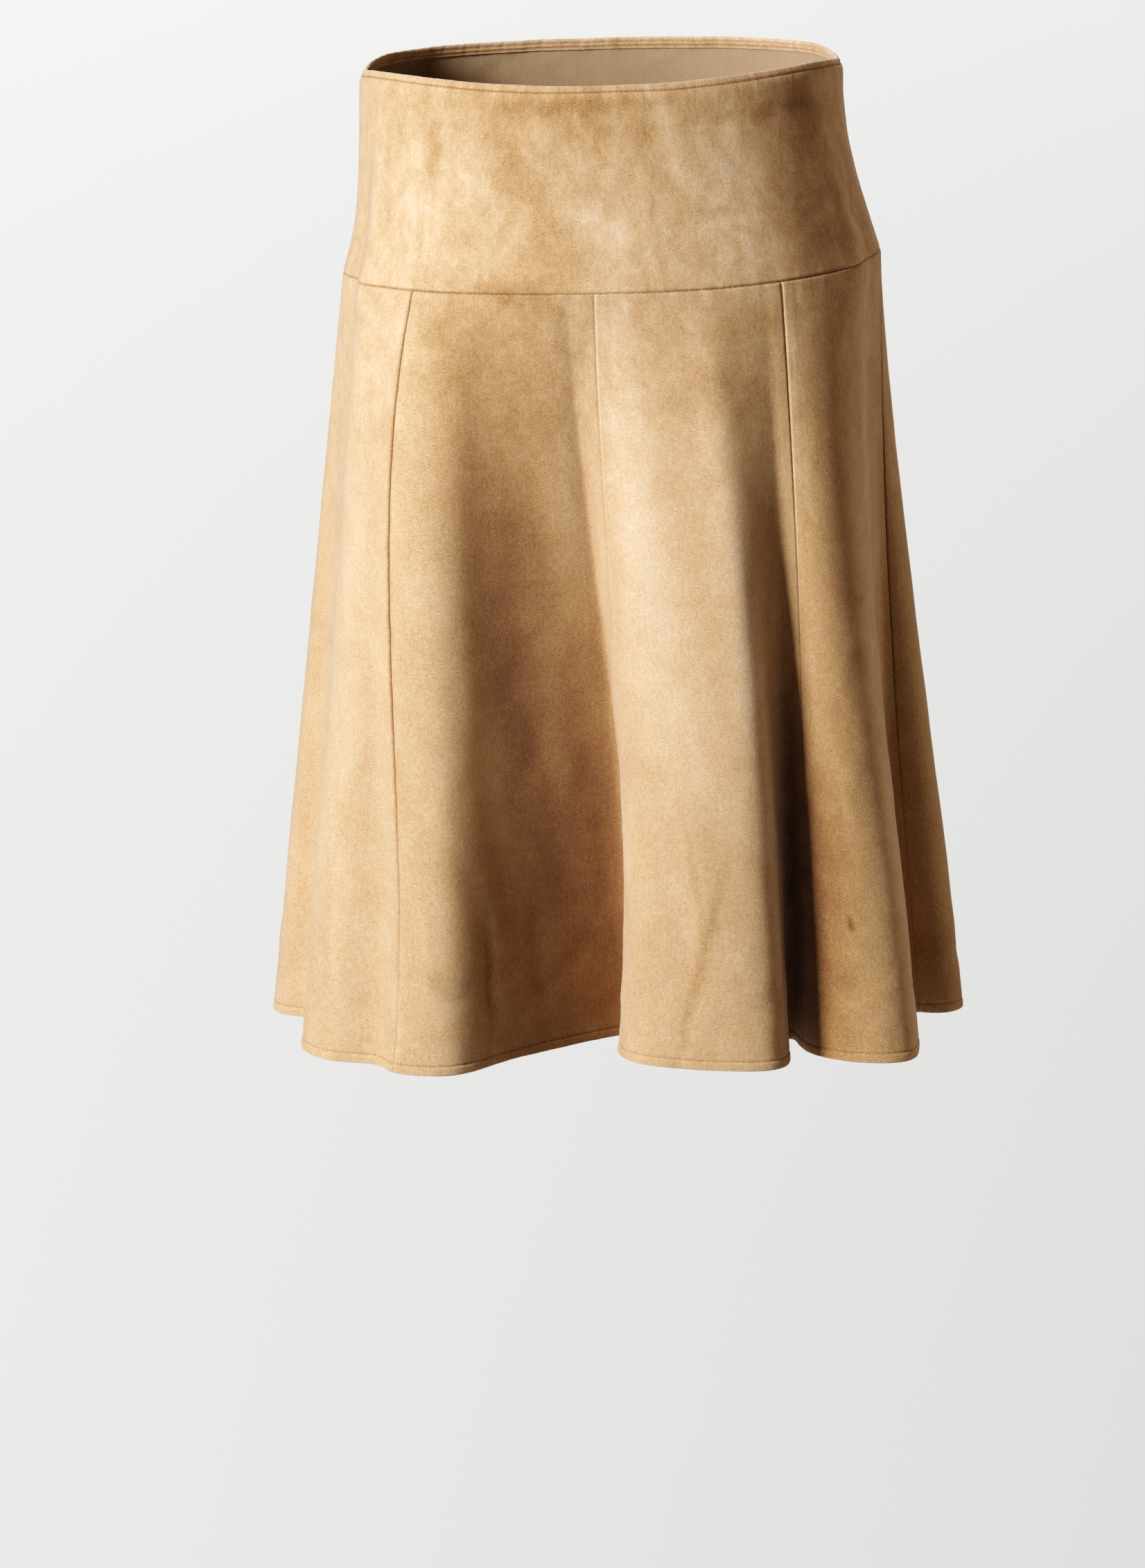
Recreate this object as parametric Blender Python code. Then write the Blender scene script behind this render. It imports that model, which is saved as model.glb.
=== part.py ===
"""A-line skirt of faux suede: a fitted hip yoke in two panels, and eight flared gores below it.

Worn and hollow, in metres, +Z up, the wearer facing -Y. The origin is the centre of the waist opening, where
the wearer holds the skirt up. "Right" and "left" are the wearer's, so the right side is at -X.
"""

from collections import namedtuple

import bpy
import numpy as np

# Girths. The waist edge and the hip line (the yoke seam) are flattened ovals, wider than deep.
WAIST_WIDTH = 0.321
WAIST_DEPTH = 0.226
HIP_WIDTH = 0.359
HIP_DEPTH = 0.262
OVAL_SQUARENESS = 2.2        # exponent of the ovals: 2 is an ellipse, more is squarer
HIP_SWELL = 2.3              # the yoke stays close to the waist girth first and swells towards the hip
HIP_SHIFT = 0.0072           # the hip line sits this far to the wearer's left of the waist
HIP_SHIFT_START = 0.12       # share of the yoke's drop where that shift begins
HIP_TILT = 0.025             # rise of the waist and the hip line per metre towards the wearer's left
HIP_HITCH = 0.006            # the hip line is hitched up this much more at the left side seam
HIP_HITCH_POWER = 3          # how closely the hitch keeps to that side

# Drops, measured down from the waist edge.
YOKE_DROP = 0.1325
SKIRT_LENGTH = 0.650
WAIST_DIP = 0.0065           # the waist edge dips this far at the centre front
WAIST_DIP_POWER = 4          # how closely the dip keeps to the front
SIDE_DIP = 0.0045            # and this far at each side seam
SIDE_DIP_REACH = 0.035       # over this distance to the front and the back of the seam

# Cut of the gores along the hip line. The front is turned a little round the wearer.
FRONT_GORE_WIDTH = 0.1255
CENTRE_FRONT_X = -0.0051

CLOTH_WALL = 0.0015
SEAM_GAP = 0.0003

EDGE_ROLL = 0.0045           # the waist edge leans in by this much over its top EDGE_ROLL_DROP
EDGE_ROLL_DROP = 0.010

# Facets of the walls: the drops of the yoke's rows below the waist edge, and the gores' rows and columns.
YOKE_ROW_DROPS = [0.0, 0.003, 0.0065, 0.012, 0.055, 0.095, YOKE_DROP]
GORE_ROWS = 9
COLUMNS_PER_FOLD = 2
BOW_SHAPE = 27 / 4           # makes each bow's greatest swing its own size
OVAL_STEPS = 2880

SUEDE_COLOUR = (0.46, 0.29, 0.15, 1.0)
SUEDE_ROUGHNESS = 0.92

MM = 0.001
Fold = namedtuple("Fold", "name x y bow_high bow_low bow_back")

# Where each seam and fold line meets the hem, seen from above, in millimetres, from the right side seam
# round the front, the left side and the back. Between the yoke and the hem a line runs straight, apart from
# its bows: how far it swings to the left (+X) of straight a third and two thirds of the way down, and how far
# to the back (+Y) a third of the way down.
HEM_FOLDS = [
    Fold("seam_side_right", -222, 22, 0, 0, 0),
    Fold("side_right_flare", -225, 2, 0, 0, 0),
    Fold("side_right_flare_front", -218, -14, 0, 0, 0),
    Fold("side_right_trough", -204, -21, 0, 0, 0),
    Fold("side_right_pocket", -196, -38, 0, 0, 0),
    Fold("front_right_flare_back", -200, -72, 0, 1, 0),
    Fold("front_right_flare_corner", -199, -105, 0, 1, -1),
    Fold("front_right_flare_crest", -177, -130, -4, 1, -3),
    Fold("front_right_flare_end", -151, -138, -10, 3, -2),
    Fold("seam_princess_right", -138, -157, -14, 5, 0),
    Fold("centre_right_flare_start", -115, -166, -13, 5, -3),
    Fold("centre_right_flare_crest", -97, -164, -8, 3, -4),
    Fold("centre_right_flare_turn", -81, -151, -4, 2, -2),
    Fold("centre_flank_start", -66, -133, -2, 2, 3),
    Fold("centre_flank", -24, -95, -1, 4, 8),
    Fold("centre_flank_end", 11, -69, -1, 7, 8),
    Fold("centre_valley", 22, -66, -1, 8, 10),
    Fold("seam_centre_front", 12, -101, -1, 8, 10),
    Fold("centre_left_flare_start", 18, -128, 0, 7, 6),
    Fold("centre_left_flare_shoulder", 38, -143, 0, 5, 2),
    Fold("centre_left_flare_crest", 90, -155, 1, 3, -5),
    Fold("centre_left_flare_turn", 115, -151, 2, 2, -10),
    Fold("centre_left_flare_corner", 125, -138, 2, 2, -12),
    Fold("centre_left_flare_back", 126, -118, 3, 2, -13),
    Fold("recess_wall", 123, -94, 3, 3, -15),
    Fold("recess_floor", 129, -76, 3, 3, -16),
    Fold("seam_princess_left", 136, -99, 3, 3, -14),
    Fold("front_left_flare_start", 143, -115, 3, 3, -14),
    Fold("front_left_flare_shoulder", 158, -127, 1, 2, -14),
    Fold("front_left_flare_crest", 183, -135, -2, 0, -12),
    Fold("front_left_flare_turn", 206, -129, -6, -1, -8),
    Fold("front_left_flare_corner", 214, -106, -8, -1, -4),
    Fold("front_left_flare_back", 211, -66, -8, -1, 0),
    Fold("side_left_pocket", 203, -30, -6, -2, 0),
    Fold("side_left_trough", 207, -11, -4, -3, 0),
    Fold("seam_side_left", 220, -9, -4, -3, 0),
    Fold("side_left_flare_front", 235, -11, -4, -1, 0),
    Fold("side_left_flare", 249, 1, -4, 1, 0),
    Fold("side_left_flare_back", 246, 22, -3, 1, 0),
    Fold("side_left_flare_end", 224, 42, -1, 0, 0),
    Fold("back_left_side_trough", 206, 62, 0, 0, 0),
    Fold("back_left_side_flare_start", 204, 90, 0, 0, 0),
    Fold("back_left_side_flare", 200, 118, 0, 0, 0),
    Fold("back_left_side_flare_end", 178, 134, 0, 0, 0),
    Fold("seam_back_left", 148, 120, 0, 0, -6),
    Fold("back_left_flare_start", 134, 143, 1, 0, 0),
    Fold("back_left_flare_shoulder", 112, 164, 2, 0, 0),
    Fold("back_left_flare_crest", 80, 172, 3, 0, 0),
    Fold("back_left_flare_turn", 48, 160, 3, 0, 0),
    Fold("back_left_flank", 34, 130, 2, 0, -8),
    Fold("back_valley", 22, 101, 2, 0, -14),
    Fold("seam_centre_back", 2, 92, 0, 0, -14),
    Fold("back_right_flank", -16, 112, -2, 0, -8),
    Fold("back_right_flare_turn", -30, 142, -3, 0, 0),
    Fold("back_right_flare_shoulder", -54, 165, -3, 0, 0),
    Fold("back_right_flare_crest", -86, 170, -2, 0, 0),
    Fold("back_right_flare_end", -116, 152, -1, 0, 0),
    Fold("back_right_trough", -129, 124, 0, 0, -6),
    Fold("seam_back_right", -145, 108, 0, 0, -5),
    Fold("back_right_side_flare_start", -162, 124, 0, 0, 0),
    Fold("back_right_side_flare", -190, 143, 0, 0, 0),
    Fold("back_right_side_flare_end", -212, 122, 0, 0, 0),
    Fold("side_right_back_wall", -205, 90, 0, 0, 0),
    Fold("side_right_back_trough", -189, 64, 0, 0, 0),
    Fold("side_right_back_turn", -203, 44, 0, 0, 0),
]

HipFold = namedtuple("HipFold", "name gore share width height")

# Soft vertical ridges (and hollows, with a negative height) of the yoke, in millimetres at the hip line,
# where the flat front turns to the sides. share is the place across the gore below.
HIP_FOLDS = [
    HipFold("front_right_ridge", 0, 0.62, 15, 3.0),
    HipFold("side_right_hollow", 0, 0.44, 15, -4.0),
    HipFold("front_left_ridge", 3, 0.52, 16, 2.2),
    HipFold("side_left_hollow", 3, 0.72, 15, -2.4),
]

GORES = [
    "gore_right_side_front",
    "gore_right_front",
    "gore_left_front",
    "gore_left_side_front",
    "gore_left_side_back",
    "gore_left_back",
    "gore_right_back",
    "gore_right_side_back",
]
FRONT_GORES = 4
CENTRE_FRONT_SEAM = 2        # seams are numbered by the gore that starts at them
YOKES = [("yoke_front", 0, 4), ("yoke_back", 4, 8)]


def clear_scene():
    for obj in list(bpy.data.objects):
        bpy.data.objects.remove(obj, do_unlink=True)


def closed_curve(points, steps):
    """A smooth closed curve through points, with this many steps from each to the next: periodic cubics over
    the square root of the chords seen from above, which keeps the tight folds round."""
    ahead = np.roll(points, -1, axis=0)
    span = np.sqrt(np.linalg.norm((ahead - points)[:, :2], axis=1))
    before = np.roll(span, 1)
    slope = (ahead - points) / span[:, None]
    count = len(points)
    system = np.zeros((count, count))
    for row in range(count):
        system[row, row - 1] = before[row]
        system[row, row] = 2 * (before[row] + span[row])
        system[row, (row + 1) % count] = span[row]
    bend = np.linalg.solve(system, 6 * (slope - np.roll(slope, 1, axis=0)))
    bend_ahead = np.roll(bend, -1, axis=0)
    curve = []
    for row in range(count):
        for step in range(steps):
            t = span[row] * step / steps
            rate = slope[row] - span[row] * (2 * bend[row] + bend_ahead[row]) / 6
            rise = (bend_ahead[row] - bend[row]) / (6 * span[row])
            curve.append(points[row] + t * (rate + t * (bend[row] / 2 + t * rise)))
    return np.array(curve)


def oval(width, depth, centre_x):
    """Points round an oval, from its back to the right side, the front and the left side."""
    turn = np.linspace(0, 2 * np.pi, OVAL_STEPS, endpoint=False)
    across, along = -np.sin(turn), np.cos(turn)
    power = 2 / OVAL_SQUARENESS
    x = centre_x + width / 2 * np.sign(across) * np.abs(across) ** power
    y = depth / 2 * np.sign(along) * np.abs(along) ** power
    return np.column_stack([x, y])


def lengths_along(closed):
    """Length from the first point to each one and, last, to the first again."""
    sides = np.linalg.norm(np.roll(closed, -1, axis=0) - closed, axis=1)
    return np.concatenate([[0], np.cumsum(sides)])


def at_length(closed, lengths, where):
    ring = np.vstack([closed, closed[:1]])
    where = np.mod(where, lengths[-1])
    return np.column_stack([np.interp(where, lengths, ring[:, axis]) for axis in range(2)])


def hem_columns():
    """The wall's columns round the hem: their points, bows and shares, and the column of each seam. A share is
    the gore's number plus the part of its hem that lies before the column."""
    folds = np.array([fold[1:] for fold in HEM_FOLDS]) * MM
    curve = closed_curve(folds, COLUMNS_PER_FOLD)
    hem, bows = curve[:, :2], curve[:, 2:]
    seams = [row * COLUMNS_PER_FOLD for row, fold in enumerate(HEM_FOLDS) if fold.name.startswith("seam")]
    seams.append(len(hem))
    lengths = lengths_along(hem)
    shares = np.interp(lengths[:-1], lengths[seams], np.arange(len(seams)))
    return hem, bows, shares, seams


def seam_lengths(girth, centre_front):
    """Length round an oval of this girth at each seam, from the right side seam to itself again: equal front
    gores, and the rest of the girth shared by the back ones."""
    front_gore = FRONT_GORE_WIDTH * girth / lengths_along(oval(HIP_WIDTH, HIP_DEPTH, 0))[-1]
    back_gore = (girth - FRONT_GORES * front_gore) / (len(GORES) - FRONT_GORES)
    widths = [front_gore] * FRONT_GORES + [back_gore] * (len(GORES) - FRONT_GORES)
    return centre_front - CENTRE_FRONT_SEAM * front_gore + np.concatenate([[0], np.cumsum(widths)])


def hip_fold_height(shares):
    """How far the soft ridges of the yoke stand out at the hip line."""
    height = np.zeros(len(shares))
    for fold in HIP_FOLDS:
        away = (shares - fold.gore - fold.share) * FRONT_GORE_WIDTH / (fold.width * MM)
        height += fold.height * MM * np.exp(-(away**2))
    return height


def outward(ring):
    """Unit normals of a closed ring in the plane of the floor, pointing out."""
    tangent = np.roll(ring, -1, axis=0) - np.roll(ring, 1, axis=0)
    normal = np.column_stack([tangent[:, 1], -tangent[:, 0]])
    normal /= np.linalg.norm(normal, axis=1)[:, None]
    return normal


def smooth_step(t):
    t = np.clip(t, 0, 1)
    return t * t * (3 - 2 * t)


def yoke_ring(drop, shares):
    """The yoke's section at a drop below the waist edge."""
    level = drop / YOKE_DROP
    swell = level**HIP_SWELL
    shift = HIP_SHIFT * smooth_step((level - HIP_SHIFT_START) / (1 - HIP_SHIFT_START))
    roll = EDGE_ROLL * max(0, 1 - drop / EDGE_ROLL_DROP) ** 2
    width = WAIST_WIDTH + (HIP_WIDTH - WAIST_WIDTH) * swell - 2 * roll
    depth = WAIST_DEPTH + (HIP_DEPTH - WAIST_DEPTH) * swell - 2 * roll
    section = oval(width, depth, shift)
    lengths = lengths_along(section)
    turned = (CENTRE_FRONT_X - HIP_SHIFT) * width / HIP_WIDTH
    off_centre = np.abs(section[:, 0] - shift - turned) + (section[:, 1] > 0)
    places = seam_lengths(lengths[-1], lengths[np.argmin(off_centre)])
    ring = at_length(section, lengths, np.interp(shares, np.arange(len(places)), places))
    return ring + outward(ring) * (hip_fold_height(shares) * smooth_step(level))[:, None]


def yoke_height(ring, drop):
    """Height of each point of the yoke's section at a drop below the waist edge."""
    level = drop / YOKE_DROP
    forward = np.clip(-ring[:, 1] / (WAIST_DEPTH / 2 - EDGE_ROLL), 0, 1)
    waist_edge = WAIST_DIP * (1 - forward**WAIST_DIP_POWER)
    waist_edge -= SIDE_DIP * np.exp(-((ring[:, 1] / SIDE_DIP_REACH) ** 2))
    hitch = HIP_HITCH * np.clip(ring[:, 0] / (HIP_WIDTH / 2), 0, None) ** HIP_HITCH_POWER
    return HIP_TILT * ring[:, 0] - drop + waist_edge * (1 - level) + hitch * level


def yoke_point_rows(shares):
    """Rows of points down the yoke, from the waist edge to just above the yoke seam."""
    rows = []
    for drop in YOKE_ROW_DROPS:
        ring = yoke_ring(drop, shares)
        above_seam = SEAM_GAP / 2 if drop == YOKE_DROP else 0
        rows.append(np.column_stack([ring, yoke_height(ring, drop) + above_seam]))
    return np.array(rows)


def gore_point_rows(hem, bows, shares):
    """Rows of points down the gores, from just below the yoke seam to the hem."""
    hip = yoke_ring(YOKE_DROP, shares)
    seam_height = yoke_height(hip, YOKE_DROP) - SEAM_GAP / 2
    rows = []
    for level in np.linspace(0, 1, GORE_ROWS + 1):
        ring = hip + (hem - hip) * level
        swing = BOW_SHAPE * level * (1 - level)
        ring[:, 0] += swing * (bows[:, 0] * (1 - level) + bows[:, 1] * level)
        ring[:, 1] += swing * (1 - level) * bows[:, 2]
        height = seam_height + (-SKIRT_LENGTH - seam_height) * level
        rows.append(np.column_stack([ring, height]))
    return np.array(rows)


def add_wall(name, rows, first, last, material):
    """One panel as a closed wall: columns first to last of the rows, CLOTH_WALL thick, half a seam gap in."""
    columns = np.arange(first, last + 1) % rows.shape[1]
    outer = []
    inner = []
    for row in rows:
        normal = np.column_stack([outward(row[:, :2]), np.zeros(len(row))])[columns]
        points = row[columns]
        half_gap = SEAM_GAP / 2 * np.column_stack([-normal[:, 1], normal[:, 0], normal[:, 2]])
        points[0] += half_gap[0]
        points[-1] -= half_gap[-1]
        outer.append(points)
        inner.append(points - normal * CLOTH_WALL)
    outer = np.array(outer)
    points = np.vstack([outer.reshape(-1, 3), np.array(inner).reshape(-1, 3)])
    high, wide = outer.shape[:2]

    def at(side, row, column):
        return side * high * wide + row * wide + column

    faces = []
    for row in range(high - 1):
        for column in range(wide - 1):
            for side in (0, 1):
                quad = [
                    at(side, row, column),
                    at(side, row + 1, column),
                    at(side, row + 1, column + 1),
                    at(side, row, column + 1),
                ]
                faces.append(quad if side == 0 else quad[::-1])
    for column in range(wide - 1):
        faces.append([at(0, 0, column), at(0, 0, column + 1), at(1, 0, column + 1), at(1, 0, column)])
        low = high - 1
        faces.append([at(0, low, column), at(1, low, column), at(1, low, column + 1), at(0, low, column + 1)])
    for row in range(high - 1):
        faces.append([at(0, row, 0), at(1, row, 0), at(1, row + 1, 0), at(0, row + 1, 0)])
        end = wide - 1
        faces.append([at(0, row, end), at(0, row + 1, end), at(1, row + 1, end), at(1, row, end)])
    mesh = bpy.data.meshes.new(name)
    mesh.from_pydata(points.tolist(), [], faces)
    mesh.materials.append(material)
    mesh.shade_smooth()
    mesh.set_sharp_from_angle(angle=np.radians(40))
    obj = bpy.data.objects.new(name, mesh)
    bpy.context.collection.objects.link(obj)
    return obj


def suede():
    material = bpy.data.materials.new("suede")
    material.use_nodes = True
    shader = material.node_tree.nodes["Principled BSDF"]
    shader.inputs["Base Color"].default_value = SUEDE_COLOUR
    shader.inputs["Roughness"].default_value = SUEDE_ROUGHNESS
    shader.inputs["Metallic"].default_value = 0.0
    return material


def build():
    clear_scene()
    material = suede()
    hem, bows, shares, seams = hem_columns()
    yoke = yoke_point_rows(shares)
    skirt = gore_point_rows(hem, bows, shares)
    for name, first, last in YOKES:
        add_wall(name, yoke, seams[first], seams[last], material)
    for gore, name in enumerate(GORES):
        add_wall(name, skirt, seams[gore], seams[gore + 1], material)


build()
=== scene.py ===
"""A knee-length a-line skirt of camel faux suede, hollow as worn: eight flared gores on a fitted yoke.

It is built as a maker sews it: the cloth and the thread, the gores with their turned hem, the yoke that
carries them, then the studio round it. "Right" and "left" are the wearer's, so the right side is at -X.
"""

import math
from collections import namedtuple

import bpy
import numpy as np
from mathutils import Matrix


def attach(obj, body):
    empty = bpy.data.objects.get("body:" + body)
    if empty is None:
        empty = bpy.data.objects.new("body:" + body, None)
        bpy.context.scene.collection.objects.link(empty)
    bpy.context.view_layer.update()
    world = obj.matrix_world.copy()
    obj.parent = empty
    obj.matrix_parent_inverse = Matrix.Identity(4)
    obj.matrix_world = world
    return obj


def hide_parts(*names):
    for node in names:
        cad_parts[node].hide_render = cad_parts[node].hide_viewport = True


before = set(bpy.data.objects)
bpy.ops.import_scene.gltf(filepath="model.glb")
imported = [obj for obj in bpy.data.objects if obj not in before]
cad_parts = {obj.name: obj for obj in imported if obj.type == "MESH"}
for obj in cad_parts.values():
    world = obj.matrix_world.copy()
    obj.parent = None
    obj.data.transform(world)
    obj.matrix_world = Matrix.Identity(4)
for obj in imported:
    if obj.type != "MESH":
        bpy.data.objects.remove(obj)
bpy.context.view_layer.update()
MM = 0.001

# --- The suede ---------------------------------------------
# A brushed polyester suede about 1 mm thick. Its face is a short dense nap of fine fibres that lie down the
# panels. Where a hand has stroked them they turn and look darker or lighter. The wrong side is plain knit.
# The same tones also paint shade into grooves and hollows, and light onto faces turned to the light.
NAP_RAISED_AND_SHADE = (0.150, 0.058, 0.015, 1.0)  # fibres standing towards the eye, the darkest, and the colour of the painted shade in seams and hollows
NAP_BROWN = (0.305, 0.152, 0.052, 1.0)
NAP_CAMEL = (0.478, 0.284, 0.133, 1.0)
NAP_FLAT_AND_LIT = (0.690, 0.500, 0.325, 1.0)  # fibres lying flat, the palest, which the painted light on lit faces leans towards
FIBRE = (0.42, 1.25)  # width and length of one tuft of fibres, in millimetres
TUFTS = (2.4, 4.5)  # tufts that lean together
MARKS = (11, 16)  # small marks from touching
PATCHES = (42, 70)  # broad soft patches from stroking
NOISE_ROUGHNESS = 0.55
SUEDE_ROUGHNESS = 0.88
SUEDE_SPECULAR = 0.15
SHEEN = 0.33
KNIT_SHEEN = 0.08
SHEEN_ROUGHNESS = 0.6
SHEEN_TINT = (1.0, 0.91, 0.80, 1.0)
KNIT_DARK = (0.190, 0.115, 0.058, 1.0)
KNIT_PALE = (0.360, 0.245, 0.140, 1.0)


def feed(made, inputs):
    """Gives a node its inputs, by name or number: plain values, or the sockets that feed them."""
    for key, value in inputs.items():
        if isinstance(value, bpy.types.NodeSocket):
            made.id_data.links.new(value, made.inputs[key])
        else:
            made.inputs[key].default_value = value


def node(tree, kind, place, inputs=None, **settings):
    """A new node of this kind, at this place in the node editor."""
    made = tree.nodes.new(kind)
    made.location = place
    for key, value in settings.items():
        setattr(made, key, value)
    feed(made, inputs or {})
    return made


def maths(tree, operation, place, *values):
    """The result of a math node on these values and sockets."""
    return node(tree, "ShaderNodeMath", place, dict(enumerate(values)), operation=operation).outputs[0]


def grain(tree, cut, size, detail, row, distortion=0.0):
    """Noise on the flat cut whose blotches are size millimetres wide and long, from 0 to 1."""
    scale = (1 / (size[0] * MM), 1 / (size[1] * MM), 1)
    stretch = node(tree, "ShaderNodeVectorMath", (-600, row), {0: cut, 1: scale}, operation="MULTIPLY")
    noise = node(tree, "ShaderNodeTexNoise", (-400, row), noise_dimensions="2D")
    feed(noise, {"Vector": stretch.outputs[0], "Scale": 1, "Detail": detail, "Roughness": NOISE_ROUGHNESS})
    feed(noise, {"Distortion": distortion})
    return noise.outputs["Fac"]


def weighed(tree, total, value, weight, row):
    """total + weight * (value - 0.5), so that the noise adds no tone of its own."""
    centred = maths(tree, "SUBTRACT", (-200, row), value, 0.5)
    return maths(tree, "MULTIPLY_ADD", (0, row), centred, weight, total)


def nap_group():
    """How the nap lies over the flat cut: its tone, 0.5 where it lies as brushed, and height in metres. The
    tone mark it is given carries painted shade and light as well as the nap's own marks.
    """
    tree = bpy.data.node_groups.new("nap", "ShaderNodeTree")
    tree.interface.new_socket("Cut", in_out="INPUT", socket_type="NodeSocketVector")
    for name in ("ToneMark", "Fibres", "Tufts", "Marks", "Patches", "Fibre Height", "Tuft Height"):
        tree.interface.new_socket(name, in_out="INPUT", socket_type="NodeSocketFloat")
    for name in ("Tone", "Height"):
        tree.interface.new_socket(name, in_out="OUTPUT", socket_type="NodeSocketFloat")
    given = node(tree, "NodeGroupInput", (-900, 0)).outputs
    fibres = grain(tree, given["Cut"], FIBRE, 2, 300)
    tufts = grain(tree, given["Cut"], TUFTS, 2, 0)
    marks = grain(tree, given["Cut"], MARKS, 4, -300, 0.4)
    patches = grain(tree, given["Cut"], PATCHES, 3, -600, 0.6)
    tone = weighed(tree, given["ToneMark"], fibres, given["Fibres"], 300)
    tone = weighed(tree, tone, tufts, given["Tufts"], 0)
    tone = weighed(tree, tone, marks, given["Marks"], -300)
    tone = weighed(tree, tone, patches, given["Patches"], -600)
    low = maths(tree, "MULTIPLY", (0, 600), tufts, given["Tuft Height"])
    height = maths(tree, "MULTIPLY_ADD", (200, 600), fibres, given["Fibre Height"], low)
    node(tree, "NodeGroupOutput", (500, 0), {"Tone": tone, "Height": height})
    return tree


def suede_side(name, stops, weights, heights, sheen):
    """One side of the cloth. stops are (tone, colour), and weights those of the nap's four sizes of mark."""
    material = bpy.data.materials.new(name)
    material.use_nodes = True
    tree = material.node_tree
    cut = node(tree, "ShaderNodeUVMap", (-900, 0), uv_map="Cut")
    tone_mark = node(tree, "ShaderNodeAttribute", (-900, -200), attribute_name="tone_mark")
    handled = node(tree, "ShaderNodeAttribute", (-1100, -400), attribute_name="handled")
    lie = node(tree, "ShaderNodeGroup", (-650, 0), node_tree=NAP)
    feed(lie, dict(zip(("Fibres", "Tufts", "Marks", "Patches"), weights)))
    feed(lie, {"Fibre Height": heights[0] * MM, "Tuft Height": heights[1] * MM})
    marked = maths(tree, "MULTIPLY", (-900, -400), handled.outputs["Fac"], weights[2])
    feed(lie, {"Cut": cut.outputs["UV"], "ToneMark": tone_mark.outputs["Fac"], "Marks": marked})
    colour = node(tree, "ShaderNodeValToRGB", (-400, 100), {"Fac": lie.outputs["Tone"]})
    elements = colour.color_ramp.elements
    while len(elements) < len(stops):
        elements.new(0.5)
    for element, (tone, shade) in zip(elements, stops):
        element.position = tone
        element.color = shade
    bump = node(tree, "ShaderNodeBump", (-250, -300), {"Strength": 1.0, "Distance": 1.0})
    feed(bump, {"Height": lie.outputs["Height"]})
    shader = tree.nodes["Principled BSDF"]
    feed(shader, {"Base Color": colour.outputs["Color"], "Normal": bump.outputs["Normal"]})
    feed(shader, {"Roughness": SUEDE_ROUGHNESS, "Specular IOR Level": SUEDE_SPECULAR})
    feed(shader, {"Sheen Weight": sheen, "Sheen Roughness": SHEEN_ROUGHNESS, "Sheen Tint": SHEEN_TINT})
    return material


NAP = nap_group()
suede_face = suede_side(
    "suede_face",
    [(0.0, NAP_RAISED_AND_SHADE), (0.28, NAP_BROWN), (0.56, NAP_CAMEL), (0.90, NAP_FLAT_AND_LIT)],
    weights=(0.80, 0.24, 0.38, 0.24),
    heights=(0.15, 0.09),
    sheen=SHEEN,
)
suede_back = suede_side(
    "suede_back",
    [(0.2, KNIT_DARK), (0.8, KNIT_PALE)],
    weights=(0.50, 0.12, 0.10, 0.10),
    heights=(0.16, 0.05),
    sheen=KNIT_SHEEN,
)

# --- The thread --------------------------------------------
# Polyester sewing thread of two plies, 0.30 mm thick and a little darker than the suede. It lies on the
# cloth in short bars, which dip into it at both ends of each stitch.
THREAD = 0.30 * MM
THREAD_SIDES = 6
THREAD_BROWN = (0.095, 0.036, 0.014, 1.0)
THREAD_WORN = (0.210, 0.098, 0.042, 1.0)
THREAD_ROUGHNESS = 0.6
PLY_RELIEF = 0.03 * MM
SWAY = 0.10 * MM  # how far a row of stitches wanders aside
SLANT = 0.10  # how much a stitch leans across its row, and how much that varies
SLANT_CHANGE = 0.06

# One stitch: place along it, share of the full thickness and rise above the cloth in millimetres.
STITCH_SHAPE = [
    (-0.50, 0.15, -0.30),
    (-0.36, 0.80, 0.02),
    (0.0, 1.0, 0.16),
    (0.36, 0.80, 0.02),
    (0.50, 0.15, -0.30),
]


def thread_material():
    """The thread, a little paler where its plies rise; its map runs along each stitch."""
    material = bpy.data.materials.new("thread")
    material.use_nodes = True
    tree = material.node_tree
    ply = node(tree, "ShaderNodeUVMap", (-800, 0), uv_map="Ply")
    twist = node(tree, "ShaderNodeTexWave", (-600, 0), bands_direction="DIAGONAL")
    feed(twist, {"Scale": 1.6, "Distortion": 1.5, "Vector": ply.outputs["UV"]})
    colour = node(tree, "ShaderNodeValToRGB", (-400, 0), {"Fac": twist.outputs["Fac"]})
    colour.color_ramp.elements[0].color = THREAD_BROWN
    colour.color_ramp.elements[1].color = THREAD_WORN
    bump = node(tree, "ShaderNodeBump", (-250, -300), {"Distance": PLY_RELIEF})
    feed(bump, {"Height": twist.outputs["Fac"]})
    shader = tree.nodes["Principled BSDF"]
    feed(shader, {"Base Color": colour.outputs["Color"], "Normal": bump.outputs["Normal"]})
    feed(shader, {"Roughness": THREAD_ROUGHNESS})
    return material


thread = thread_material()


def add_object(name, mesh):
    """The mesh as a smooth object of the skirt's one body."""
    mesh.shade_smooth()
    made = bpy.data.objects.new(name, mesh)
    bpy.context.scene.collection.objects.link(made)
    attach(made, "root")
    return made


def unit(vectors):
    return vectors / np.linalg.norm(vectors, axis=-1, keepdims=True)


def at_lengths(points, lengths, where):
    """The row of points read at these lengths along it."""
    return np.column_stack([np.interp(where, lengths, column) for column in points.T])


def flutter(place, wave, start):
    """A smooth uneven wave between about -1 and 1: three sines whose lengths never fall in step."""
    turn = 2 * np.pi * place / wave
    medium = 0.6 * np.sin(turn * 1.618 + 2.3 * start)
    return (np.sin(turn + start) + medium + 0.4 * np.sin(turn * 2.71 + start)) / 2


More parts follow.
